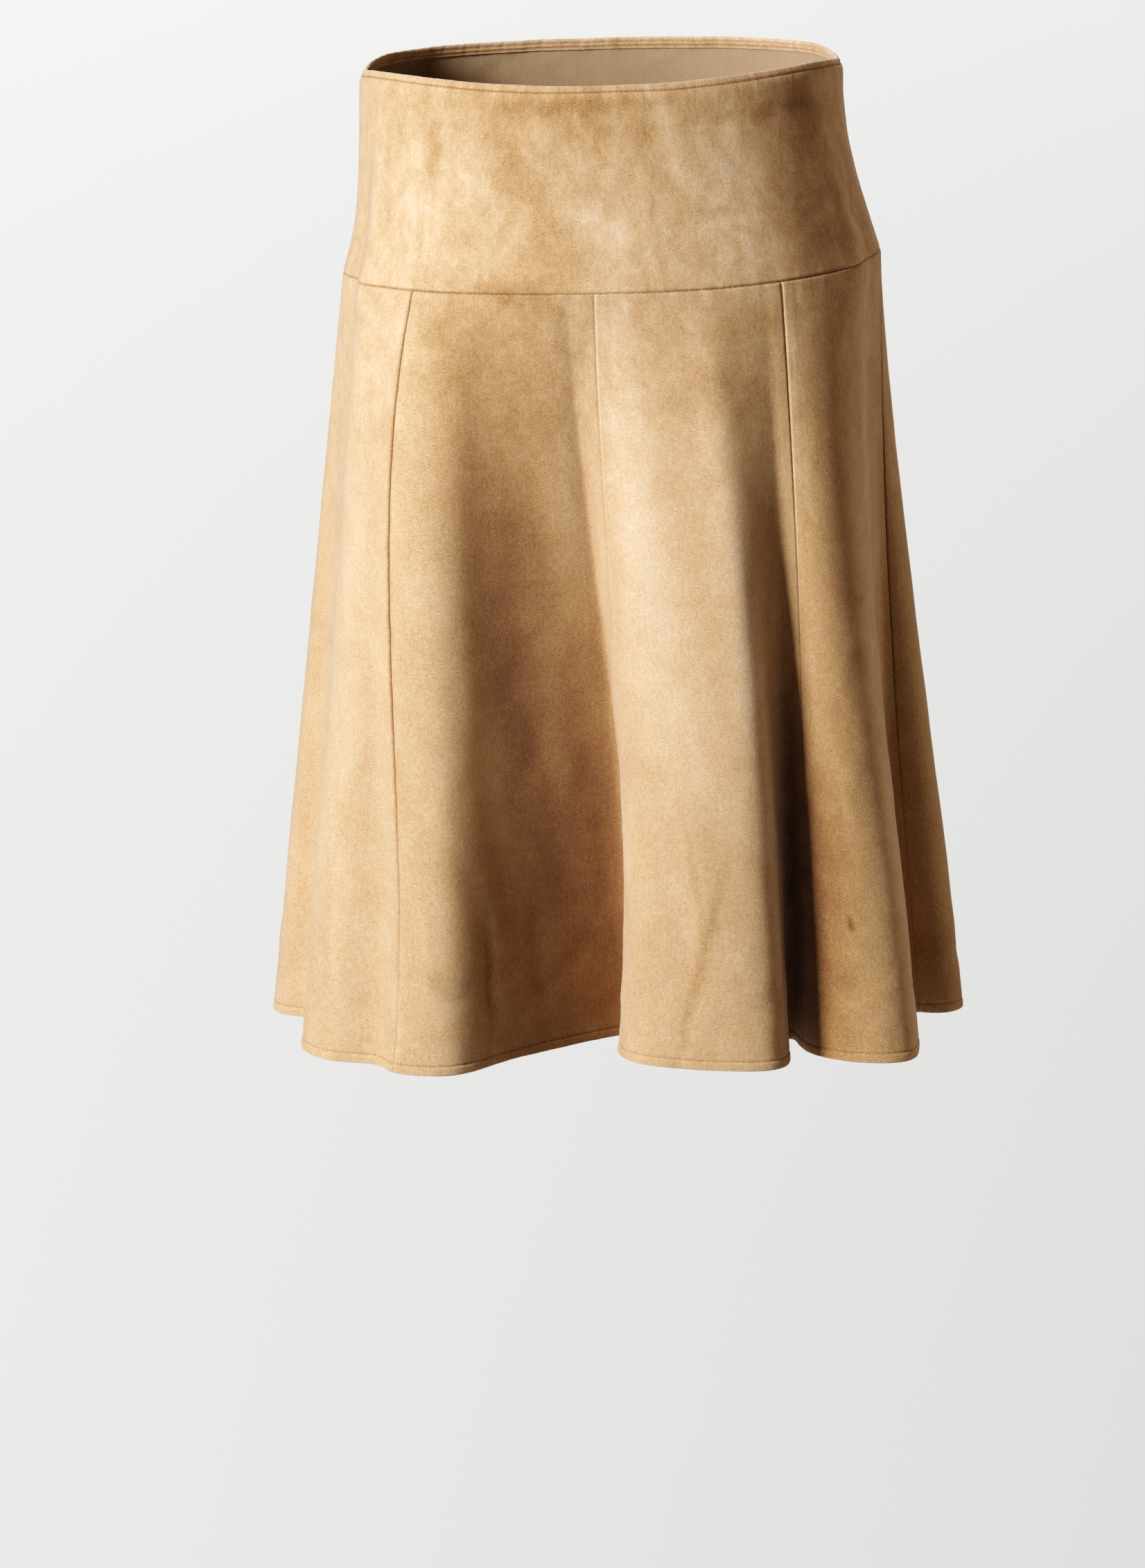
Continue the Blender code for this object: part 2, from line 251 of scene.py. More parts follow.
def sew(name, line, normals, pitch, stitch_length):
    """A row of stitches along a line on the cloth, with their pitch and length in millimetres."""
    lengths = np.concatenate([[0], np.cumsum(np.linalg.norm(np.diff(line, axis=0), axis=1))])
    count = int(lengths[-1] / (pitch * MM))
    middles = (np.arange(count) + 0.5) * lengths[-1] / count
    sway = SWAY * flutter(middles, 11 * MM, 0.7)
    slant = SLANT + SLANT_CHANGE * flutter(middles, 5.3 * MM, 1.2)
    places = at_lengths(line, lengths, middles)
    near = 0.4 * MM
    along = unit(at_lengths(line, lengths, middles + near) - at_lengths(line, lengths, middles - near))
    out = at_lengths(normals, lengths, middles)
    out = unit(out - along * (out * along).sum(axis=1)[:, None])
    aside = np.cross(out, along)
    rings, ply_rows = [], []
    for reach, share, rise in STITCH_SHAPE:
        centre = places + along * (reach * stitch_length * MM) + out * (rise * MM)
        centre += aside * (reach * slant * stitch_length * MM + sway)[:, None]
        for side in range(THREAD_SIDES):
            turn = 2 * math.pi * side / THREAD_SIDES
            radius = THREAD / 2 * share
            rings.append(centre + aside * (radius * math.cos(turn)) + out * (radius * 0.8 * math.sin(turn)))
            ply_rows.append((reach * 4, side / THREAD_SIDES * 2))
    faces = []
    for ring in range(len(STITCH_SHAPE) - 1):
        for side in range(THREAD_SIDES):
            here = ring * THREAD_SIDES + side
            beside = ring * THREAD_SIDES + (side + 1) % THREAD_SIDES
            faces.append((here, beside, beside + THREAD_SIDES, here + THREAD_SIDES))
    per_stitch = len(rings)
    faces.append(tuple(range(THREAD_SIDES))[::-1])
    faces.append(tuple(range(per_stitch - THREAD_SIDES, per_stitch)))
    every_face = [tuple(corner + n * per_stitch for corner in face) for n in range(count) for face in faces]
    mesh = bpy.data.meshes.new(name)
    mesh.from_pydata(np.stack(rings, axis=1).reshape(-1, 3).tolist(), [], every_face)
    mesh.materials.append(thread)
    corners = np.concatenate([np.array(face) for face in every_face]) % per_stitch
    ply_map = mesh.uv_layers.new(name="Ply").uv
    ply_map.foreach_set("vector", np.array(ply_rows)[corners].astype(np.float32).ravel())
    return add_object(name, mesh)


# --- The gores ---------------------------------------------
# Eight panels of suede, about 12.5 cm wide at the hip seam and 21 to 24 cm at the hem, where the edge is
# turned up 9 mm and stitched. They are sewn right sides together, so each seam is a narrow groove.

# They start from the hip seam, the last of the yoke's oval sections. Sizes are in metres.
WAIST_WIDTH = 0.321
WAIST_DEPTH = 0.226
HIP_WIDTH = 0.359
HIP_DEPTH = 0.262
OVAL_SQUARENESS = 2.2
HIP_SWELL = 2.3
HIP_SHIFT = 0.0072
HIP_SHIFT_START = 0.12
HIP_TILT = 0.025
HIP_HITCH = 0.006
HIP_HITCH_POWER = 3
YOKE_DROP = 0.1325
SKIRT_LENGTH = 0.650
WAIST_DIP = 0.0065
WAIST_DIP_POWER = 4
SIDE_DIP = 0.0045
SIDE_DIP_REACH = 0.035
FRONT_GORE_WIDTH = 0.1255
CENTRE_FRONT_X = -0.0051
GORE_LENGTH = SKIRT_LENGTH - YOKE_DROP
EDGE_ROLL = 0.0045
EDGE_ROLL_DROP = 0.010
BOW_SHAPE = 27 / 4
OVAL_STEPS = 2880
FOLD_STEPS = 40

Fold = namedtuple("Fold", "name x y bow_high bow_low bow_back")

# Where each seam and fold line meets the hem, from above, in millimetres, and its bows on the way down.
HEM_FOLDS = list(map(Fold._make, [
    ("seam_side_right", -222, 22, 0, 0, 0),
    ("side_right_flare", -225, 2, 0, 0, 0),
    ("side_right_flare_front", -218, -14, 0, 0, 0),
    ("side_right_trough", -204, -21, 0, 0, 0),
    ("side_right_pocket", -196, -38, 0, 0, 0),
    ("front_right_flare_back", -200, -72, 0, 1, 0),
    ("front_right_flare_corner", -199, -105, 0, 1, -1),
    ("front_right_flare_crest", -177, -130, -4, 1, -3),
    ("front_right_flare_end", -151, -138, -10, 3, -2),
    ("seam_princess_right", -138, -157, -14, 5, 0),
    ("centre_right_flare_start", -115, -166, -13, 5, -3),
    ("centre_right_flare_crest", -97, -164, -8, 3, -4),
    ("centre_right_flare_turn", -81, -151, -4, 2, -2),
    ("centre_flank_start", -66, -133, -2, 2, 3),
    ("centre_flank", -24, -95, -1, 4, 8),
    ("centre_flank_end", 11, -69, -1, 7, 8),
    ("centre_valley", 22, -66, -1, 8, 10),
    ("seam_centre_front", 12, -101, -1, 8, 10),
    ("centre_left_flare_start", 18, -128, 0, 7, 6),
    ("centre_left_flare_shoulder", 38, -143, 0, 5, 2),
    ("centre_left_flare_crest", 90, -155, 1, 3, -5),
    ("centre_left_flare_turn", 115, -151, 2, 2, -10),
    ("centre_left_flare_corner", 125, -138, 2, 2, -12),
    ("centre_left_flare_back", 126, -118, 3, 2, -13),
    ("recess_wall", 123, -94, 3, 3, -15),
    ("recess_floor", 129, -76, 3, 3, -16),
    ("seam_princess_left", 136, -99, 3, 3, -14),
    ("front_left_flare_start", 143, -115, 3, 3, -14),
    ("front_left_flare_shoulder", 158, -127, 1, 2, -14),
    ("front_left_flare_crest", 183, -135, -2, 0, -12),
    ("front_left_flare_turn", 206, -129, -6, -1, -8),
    ("front_left_flare_corner", 214, -106, -8, -1, -4),
    ("front_left_flare_back", 211, -66, -8, -1, 0),
    ("side_left_pocket", 203, -30, -6, -2, 0),
    ("side_left_trough", 207, -11, -4, -3, 0),
    ("seam_side_left", 220, -9, -4, -3, 0),
    ("side_left_flare_front", 235, -11, -4, -1, 0),
    ("side_left_flare", 249, 1, -4, 1, 0),
    ("side_left_flare_back", 246, 22, -3, 1, 0),
    ("side_left_flare_end", 224, 42, -1, 0, 0),
    ("back_left_side_trough", 206, 62, 0, 0, 0),
    ("back_left_side_flare_start", 204, 90, 0, 0, 0),
    ("back_left_side_flare", 200, 118, 0, 0, 0),
    ("back_left_side_flare_end", 178, 134, 0, 0, 0),
    ("seam_back_left", 148, 120, 0, 0, -6),
    ("back_left_flare_start", 134, 143, 1, 0, 0),
    ("back_left_flare_shoulder", 112, 164, 2, 0, 0),
    ("back_left_flare_crest", 80, 172, 3, 0, 0),
    ("back_left_flare_turn", 48, 160, 3, 0, 0),
    ("back_left_flank", 34, 130, 2, 0, -8),
    ("back_valley", 22, 101, 2, 0, -14),
    ("seam_centre_back", 2, 92, 0, 0, -14),
    ("back_right_flank", -16, 112, -2, 0, -8),
    ("back_right_flare_turn", -30, 142, -3, 0, 0),
    ("back_right_flare_shoulder", -54, 165, -3, 0, 0),
    ("back_right_flare_crest", -86, 170, -2, 0, 0),
    ("back_right_flare_end", -116, 152, -1, 0, 0),
    ("back_right_trough", -129, 124, 0, 0, -6),
    ("seam_back_right", -145, 108, 0, 0, -5),
    ("back_right_side_flare_start", -162, 124, 0, 0, 0),
    ("back_right_side_flare", -190, 143, 0, 0, 0),
    ("back_right_side_flare_end", -212, 122, 0, 0, 0),
    ("side_right_back_wall", -205, 90, 0, 0, 0),
    ("side_right_back_trough", -189, 64, 0, 0, 0),
    ("side_right_back_turn", -203, 44, 0, 0, 0),
]))

HipFold = namedtuple("HipFold", "name gore share width height")
HIP_FOLDS = list(map(HipFold._make, [
    ("front_right_ridge", 0, 0.62, 15, 3.0),
    ("side_right_hollow", 0, 0.44, 15, -4.0),
    ("front_left_ridge", 3, 0.52, 16, 2.2),
    ("side_left_hollow", 3, 0.72, 15, -2.4),
]))

GORES = [
    "gore_right_side_front",
    "gore_right_front",
    "gore_left_front",
    "gore_left_side_front",
    "gore_left_side_back",
    "gore_left_back",
    "gore_right_back",
    "gore_right_side_back",
]
FRONT_GORES = 4
CENTRE_FRONT_SEAM = 2

# How the cloth is sewn. Rows and columns of points crowd where it turns, in millimetres from its edge.
CLOTH = 1.1 * MM
HEM_THICKNESS = 2.3 * MM
HEM_TURN = 9.0 * MM
TURN_STEP = 0.6 * MM  # the cloth thins from two layers to one over this length
HEM_STITCH_HEIGHT = 6.5 * MM
HEM_STITCH = 2.2  # pitch and length of the hem's stitches, in millimetres
HEM_STITCH_LENGTH = 1.5
HEM_PUFF = 0.35 * MM  # the turned edge stands out this much below the stitching
HEM_PUFF_RISE = 2.0 * MM
STITCH_SINK = 0.40 * MM
STITCH_GROOVE = 0.7 * MM
SEAM_GAP = 0.10 * MM
SEAM_SINKS = [1.2, 1.1, 0.45, 0.70, 1.2, 1.2, 1.0, 1.2]  # of each seam between gores, in millimetres
SEAM_GROOVE = 0.95 * MM
HIP_SEAM_SINK = 1.3 * MM
SEAM_FADE_START = 0.5  # lower down the cloth hangs free and the seams lie flatter, over this part
SEAM_FADE = 0.32
ALLOWANCE = 9.0 * MM  # the seam allowances are pressed open to this width and show through faintly
ALLOWANCE_RISE = 0.22 * MM
ALLOWANCE_FADE = 3.0 * MM
ALLOWANCE_THICKNESS = 0.8 * MM
ALLOWANCE_ACROSS = [-9, -6, -3, -1.2, -0.5, 0, 0.5, 1.2, 3, 6, 9]
ALLOWANCE_CLEAR = 0.10 * MM  # the allowances clear the cloth behind them by this much
HEM_CLEAR = 1.2 * MM  # and stop this far short of a turned edge
GORE_WAVE = 0.55 * MM  # the gores wave this much towards the hem
SEAM_SHADE = 0.55  # how much painted shade darkens the nap in a groove
SEAM_SHADES = [0.8, 1.0, 0.0, 0.20, 0.6, 0.8, 0.5, 0.8]  # share of that at each seam between gores
SEAM_SHADE_REACH = 0.55 * MM
SEAM_LIP_HIGHLIGHTS = [0.0, 0.05, 0.09, 0.10, 0.0, 0.08, 0.12, 0.08]  # painted highlight on the left lip of each seam, where it turns to the light
LIP_PLACE = 1.3 * MM
LIP_REACH = 0.7 * MM
EDGE_PALE_REACH = 0.9 * MM  # the nap is paler along a turned edge, over this width
GROOVE_COLUMNS = [0.0, 0.15, 0.4, 0.7, 1.1, 1.7, 2.6, 4.0]
GROOVE_ROWS = [0.0, 0.15, 0.4, 0.7, 1.1, 1.7, 2.6, 4.0, 6.0]
HEM_ROWS = [
    *(12, 10.4, 9.3, 8.9, 8.3, 7.6, 7.0, 6.5, 6.0, 5.3),
    *(4.3, 3.2, 2.3, 1.6, 1.1, 0.7, 0.4, 0.18, 0.05, 0),
]
COLUMNS_PER_GORE = 84
SHARP_EDGE = 55  # degrees
ROW_SPACING = 4.6 * MM
MEAN_WIDTH = 0.75  # of a gore, as a share of its hem's
HIP_PITCH = 0.125  # metres from seam to seam, nearly, at the hip and at the hem
HEM_PITCH = 0.22

# Cloth puckers beside the stitches that pull it in. Sizes are in millimetres.
Pucker = namedtuple("Pucker", "height wave reach")
SEAM_PUCKER = Pucker(0.22, 23, 7)
HIP_PUCKER = Pucker(0.20, 17, 9)
HEM_PUCKER = Pucker(0.16, 13, 14)

Crease = namedtuple("Crease", "gore across drop length width lean height")

# Soft ridges, and troughs with a negative height, in millimetres: across from the middle of the gore, drop
# below the waist edge, lean in degrees from the vertical towards the wearer's left as it goes down.
CREASES = list(map(Crease._make, [
    (2, 58, 560, 190, 9, -6, 1.6),
    (2, 40, 585, 150, 8, -9, -1.3),
    (2, -30, 520, 240, 14, 3, 1.2),
    (3, -12, 452, 34, 3, 86, -0.5),
    (1, -32, 560, 210, 12, 4, 1.4),
    (1, 6, 590, 160, 9, 7, -1.2),
    (1, 36, 470, 260, 14, 9, 1.2),
    (0, 20, 520, 220, 13, 2, 1.1),
    (3, 26, 540, 200, 12, -3, 1.2),
    (4, -20, 500, 240, 13, -4, 1.5),
    (5, 10, 560, 210, 12, 4, 1.5),
    (5, 44, 480, 200, 11, -6, -1.2),
    (6, -34, 540, 230, 12, -5, 1.5),
    (6, 16, 500, 180, 12, 3, -1.2),
    (7, 8, 520, 240, 14, 3, 1.4),
    (0.5, 0, 641, 24, 9, 0, 0.9),
    (2, -36, 590, 170, 7, -17, -0.8),
    (2, -28, 560, 170, 6, -14, 0.7),
    (1, -42, 585, 130, 6, -2, -0.8),
    (1, -88, 560, 160, 9, 3, 0.9),
    (1.45, 0, 36, 60, 16, 70, -0.5),
    (2.6, 0, 30, 56, 14, -74, -0.5),
    (5.5, 0, 34, 70, 15, 76, -0.6),
    (6.6, 0, 44, 60, 15, -70, -0.6),
]))


def closed_curve(points, steps):
    """A smooth closed curve through points, with this many steps from each to the next: periodic cubics
    over the square root of the chords seen from above, which keeps the tight folds round."""
    ahead = np.roll(points, -1, axis=0)
    span = np.sqrt(np.linalg.norm((ahead - points)[:, :2], axis=1))
    before = np.roll(span, 1)
    slope = (ahead - points) / span[:, None]
    count = len(points)
    system = np.zeros((count, count))
    for row in range(count):
        system[row, row - 1] = before[row]
        system[row, row] = 2 * (before[row] + span[row])
        system[row, (row + 1) % count] = span[row]
    bend = np.linalg.solve(system, 6 * (slope - np.roll(slope, 1, axis=0)))
    bend_ahead = np.roll(bend, -1, axis=0)
    curve = []
    for row in range(count):
        for step in range(steps):
            t = span[row] * step / steps
            rate = slope[row] - span[row] * (2 * bend[row] + bend_ahead[row]) / 6
            rise = (bend_ahead[row] - bend[row]) / (6 * span[row])
            curve.append(points[row] + t * (rate + t * (bend[row] / 2 + t * rise)))
    return np.array(curve)


def oval(width, depth, centre_x):
    """Points round an oval, from its back to the right side, the front and the left side."""
    turn = np.linspace(0, 2 * np.pi, OVAL_STEPS, endpoint=False)
    across, along = -np.sin(turn), np.cos(turn)
    power = 2 / OVAL_SQUARENESS
    x = centre_x + width / 2 * np.sign(across) * np.abs(across) ** power
    y = depth / 2 * np.sign(along) * np.abs(along) ** power
    return np.column_stack([x, y])


def lengths_along(closed):
    """Length from the first point to each one and, last, to the first again."""
    sides = np.linalg.norm(np.roll(closed, -1, axis=0) - closed, axis=1)
    return np.concatenate([[0], np.cumsum(sides)])


def seam_lengths(girth, centre_front):
    """Length round an oval of this girth at each seam: equal front gores, and equal back ones."""
    front_gore = FRONT_GORE_WIDTH * girth / lengths_along(oval(HIP_WIDTH, HIP_DEPTH, 0))[-1]
    back_gore = (girth - FRONT_GORES * front_gore) / (len(GORES) - FRONT_GORES)
    widths = [front_gore] * FRONT_GORES + [back_gore] * (len(GORES) - FRONT_GORES)
    return centre_front - CENTRE_FRONT_SEAM * front_gore + np.concatenate([[0], np.cumsum(widths)])


def smooth_step(t):
    t = np.clip(t, 0, 1)
    return t * t * (3 - 2 * t)


def outward(ring):
    """Level unit normals of a row of points, pointing out."""
    tangent = np.gradient(ring, axis=0)
    return unit(np.column_stack([tangent[:, 1], -tangent[:, 0]]))


def hip_fold_height(shares):
    """How far the soft ridges of the yoke stand out at the hip line."""
    height = np.zeros(len(shares))
    for fold in HIP_FOLDS:
        off = np.mod(shares - fold.gore - fold.share + 4, 8) - 4
        height += fold.height * MM * np.exp(-((off * FRONT_GORE_WIDTH / (fold.width * MM)) ** 2))
    return height


def yoke_ring(drop, shares):
    """The section at a drop below the waist edge. A share is a gore's number plus the part of it passed."""
    level = drop / YOKE_DROP
    swell = level**HIP_SWELL
    shift = HIP_SHIFT * smooth_step((level - HIP_SHIFT_START) / (1 - HIP_SHIFT_START))
    roll = EDGE_ROLL * max(0, 1 - drop / EDGE_ROLL_DROP) ** 2
    width = WAIST_WIDTH + (HIP_WIDTH - WAIST_WIDTH) * swell - 2 * roll
    depth = WAIST_DEPTH + (HIP_DEPTH - WAIST_DEPTH) * swell - 2 * roll
    section = oval(width, depth, shift)
    lengths = lengths_along(section)
    turned = (CENTRE_FRONT_X - HIP_SHIFT) * width / HIP_WIDTH
    off_centre = np.abs(section[:, 0] - shift - turned) + (section[:, 1] > 0)
    places = seam_lengths(lengths[-1], lengths[np.argmin(off_centre)])
    turns = np.floor_divide(shares, len(GORES))
    where = np.interp(shares - len(GORES) * turns, np.arange(len(places)), places) + turns * lengths[-1]
    ring = at_lengths(np.vstack([section, section[:1]]), lengths, np.mod(where, lengths[-1]))
    return ring + outward(ring) * (hip_fold_height(shares) * smooth_step(level))[:, None]


def yoke_height(ring, drop):
    """Height of each point of the yoke's section at a drop below the waist edge."""
    level = drop / YOKE_DROP
    forward = np.clip(-ring[:, 1] / (WAIST_DEPTH / 2 - EDGE_ROLL), 0, 1)
    waist_edge = WAIST_DIP * (1 - forward**WAIST_DIP_POWER)
    waist_edge -= SIDE_DIP * np.exp(-((ring[:, 1] / SIDE_DIP_REACH) ** 2))
    hitch = HIP_HITCH * np.clip(ring[:, 0] / (HIP_WIDTH / 2), 0, None) ** HIP_HITCH_POWER
    return HIP_TILT * ring[:, 0] - drop + waist_edge * (1 - level) + hitch * level


hem_curve = closed_curve(np.array([fold[1:] for fold in HEM_FOLDS]) * MM, FOLD_STEPS)
hem_lengths = lengths_along(hem_curve[:, :2])
seam_places = [n * FOLD_STEPS for n, fold in enumerate(HEM_FOLDS) if fold.name.startswith("seam")]
seam_places.append(len(hem_curve))
hem_shares = np.interp(hem_lengths[:-1], hem_lengths[seam_places], np.arange(len(seam_places)))
HEM_WIDTHS = np.diff(hem_lengths[seam_places])
hip_lengths = seam_lengths(lengths_along(oval(HIP_WIDTH, HIP_DEPTH, 0))[-1], 0)
HIP_WIDTHS = np.diff(hip_lengths)


def gore_rows(shares, levels):
    """Points of the gores' outer face at these shares, from the hip seam (level 0) to the hem (level 1)."""
    hip = yoke_ring(YOKE_DROP, shares)
    hip_height = yoke_height(hip, YOKE_DROP)
    hem = np.column_stack([np.interp(shares, hem_shares, hem_curve[:, n], period=8) for n in range(5)])
    rows = []
    for level in levels:
        ring = hip + (hem[:, :2] - hip) * level
        swing = BOW_SHAPE * level * (1 - level)
        ring[:, 0] += swing * (hem[:, 2] * (1 - level) + hem[:, 3] * level)
        ring[:, 1] += swing * (1 - level) * hem[:, 4]
        rows.append(np.column_stack([ring, hip_height + (-SKIRT_LENGTH - hip_height) * level]))
    return np.array(rows)


def normals_of(rows):
    """Unit normals of a grid of points, pointing out of the skirt."""
    return unit(np.cross(np.gradient(rows, axis=0), np.gradient(rows, axis=1)))


def gore_width(shares, level):
    """Width of the gore that each share lies in, at a level from the hip seam to the hem."""
    gore = np.floor(shares).astype(int) % len(GORES)
    return HIP_WIDTHS[gore] + (HEM_WIDTHS[gore] - HIP_WIDTHS[gore]) * level


def off_place(shares, mark, width):
    """Distance across the cloth from a mark's place, in metres, the short way round."""
    middle = mark.gore + 0.5
    away = np.mod(shares - middle + 4, 8) - 4
    return away * width - mark.across * MM


def along_and_aside(across, down, lean):
    """Distances across and down the cloth, turned to run along a mark that leans, in degrees, and aside."""
    turn = math.radians(lean)
    along = down * math.cos(turn) + across * math.sin(turn)
    return along, across * math.cos(turn) - down * math.sin(turn)


def near(distance, reach):
    """1 at no distance, falling smoothly to nothing at about twice the reach."""
    return np.exp(-((distance / reach) ** 2))


def crease_relief(shares, drops, widths):
    """Height of the soft creases over a grid of shares, drops below the waist edge and gore widths."""
    relief = np.zeros(np.broadcast(shares, drops).shape)
    for crease in CREASES:
        across = off_place(shares, crease, widths)
        along, aside = along_and_aside(across, drops - crease.drop * MM, crease.lean)
        fade = np.clip(1 - (along / (crease.length * MM / 2)) ** 2, 0, 1) ** 2
        relief += crease.height * MM * fade * near(aside, crease.width * MM)
    return relief


ToneMark = namedtuple("ToneMark", "gore across drop length width lean tone")

# Hands mark the nap most above a drop of 10 cm, and much less from 22 cm further down.
TOUCHED_DROP = 0.10
TOUCHED_FADE = 0.22
UNTOUCHED = 0.68

# Where hands have stroked the nap, and where shade and light are painted into it, in millimetres and degrees
# as the creases are. A tone below 0 darkens it. The rows marked below paint shade where the cloth turns from
# the light or lies in a hollow, and light where it faces the light.
NAP_AND_PAINTED_LIGHT_MARKS = list(map(ToneMark._make, [
    (1, -51, 48, 48, 13, 0, -0.24),
    (1.5, -8, 12, 150, 11, 90, -0.15),
    (1.6, 0, 16, 330, 44, 90, -0.10),
    (1, 1, 47, 48, 26, 0, -0.15),
    (1, 20, 64, 34, 26, 30, -0.10),
    (1.5, -4, 27, 40, 48, 0, -0.10),
    (2, -3, 30, 62, 13, 16, 0.16),
    (2, -21, 38, 40, 14, 8, -0.15),
    (2, 12, 27, 30, 12, 14, -0.07),
    (2, 36, 70, 120, 52, 0, 0.12),
    (3, -30, 66, 110, 50, 4, -0.12),
    (3, -16, 26, 40, 24, 0, -0.14),
    (3, -38, 24, 84, 10, 90, -0.13),
    (3, -20, 112, 44, 56, 0, -0.16),
    (1, 5, 131, 46, 12, 90, -0.16),
    # Painted light on the lit yoke beside the right princess seam.
    (0.5, 14, 70, 150, 84, 0, 0.10),
    (1, -40, 158, 80, 40, 0, -0.14),
    (1, 6, 215, 180, 92, 0, -0.17),
    (2, 24, 200, 84, 40, 84, -0.14),
    (2, 30, 158, 54, 26, 96, -0.10),
    # Painted light on the lit strip of the left front gore beside the centre front.
    (2, -50, 220, 260, 32, 1, 0.12),
    (2, -46, 360, 280, 52, 3, 0.15),
    (3, -30, 250, 320, 46, 3, -0.12),
    (3, 32, 250, 300, 26, 2, 0.10),
    # Painted light on the lit flare of the right side front gore.
    (0, 42, 320, 440, 90, 0, 0.09),
    # Painted shade on the right front gore, where its flare turns from the light and down its flank to the
    # centre front.
    (1, -16, 345, 210, 50, 6, -0.27),
    (1, 18, 400, 230, 80, 4, -0.20),
    (1, -50, 520, 200, 34, 2, -0.10),
    (1, 20, 575, 290, 104, 3, -0.38),
    (1, 62, 490, 320, 46, 3, -0.13),
    # Painted shadow cast by the neighbouring flare on the left side front gore, beside the left princess
    # seam.
    (3, -54, 470, 440, 74, 2, -0.15),
    (3, -82, 570, 280, 46, 0, -0.34),
    (4, -84, 620, 80, 40, 0, -0.15),
    # Painted shade along the line of the right princess seam.
    (0.5, 0, 330, 380, 4, 0, -0.20),
    # Painted highlight on the lip beside the left princess seam.
    (2.5, 4, 180, 110, 8, 0, 0.07),
    # Painted shade in the deep recess at the left princess seam.
    (2.5, -14, 520, 260, 30, 0, -0.42),
    (2, 22, 430, 400, 30, 4, 0.15),
    (3, -14, 430, 420, 26, -1, 0.14),
    # Painted shade in the troughs of the low creases.
    (2, -36, 590, 150, 7, -17, -0.15),
    (2, -33, 520, 90, 6, 6, -0.09),
    (1, -40, 585, 110, 9, -2, -0.16),
    (1, -81, 587, 26, 16, 40, -0.14),
    (1, 12, 300, 90, 40, 20, -0.07),
    # Painted shade of a short, nearly level crease.
    (3, -12, 345, 22, 3, 84, -0.20),
    (1.5, 14, 92, 40, 20, 70, 0.10),
    (1, 34, 100, 60, 30, 0, -0.07),
    (2, 34, 84, 60, 5, 86, -0.10),
    (2, 44, 98, 24, 5, 70, -0.12),
    (1, -30, 96, 60, 26, 10, -0.07),
    (3, -57, 558, 8, 5, 20, -0.40),
    (4, 20, 240, 230, 60, 0, -0.12),
    (4, 34, 520, 220, 60, 4, 0.10),
    (5, -18, 210, 120, 90, 80, -0.12),
    (5, 30, 470, 300, 64, -4, -0.16),
    (5, -62, 380, 300, 44, -2, 0.12),
    (5.5, 6, 40, 120, 60, 84, -0.13),
    (4.6, 0, 82, 90, 40, 0, -0.12),
    (6, 12, 300, 260, 56, 4, -0.15),
    (6, -50, 540, 220, 50, 2, 0.12),
    (6.5, 8, 26, 150, 26, 90, -0.14),
    (6.7, -8, 96, 60, 60, 0, -0.10),
    (7, 6, 200, 160, 80, 0, -0.12),
    (7, -40, 480, 280, 50, 2, 0.11),
    (7.4, 0, 62, 110, 60, 0, -0.10),
]))


def nap_and_painted_light_tone(shares, drops, widths):
    """Tone of the nap over a grid: 0.5 as brushed, less where it is stroked up or painted with shade, more
    where it lies flat or is painted with light.
    """
    tone = np.full(np.broadcast(shares, drops).shape, 0.5)
    for n, tone_mark in enumerate(NAP_AND_PAINTED_LIGHT_MARKS):
        wander = min(0.2 * tone_mark.width, 4) * MM
        across = off_place(shares, tone_mark, widths) + wander * flutter(drops, 43 * MM, n)
        down = drops - tone_mark.drop * MM + wander * flutter(across, 37 * MM, 1.7 * n)
        along, aside = along_and_aside(across, down, tone_mark.lean)
        reach = (along / (tone_mark.length * MM / 2)) ** 2 + (aside / (tone_mark.width * MM / 2)) ** 2
        tone += tone_mark.tone * np.exp(-(reach**1.3))
    return tone


def groove(distance, depth):
    """Depth of a sewn groove at a distance from its seam: a narrow notch with rounded lips."""
    return depth * near(distance, SEAM_GROOVE)


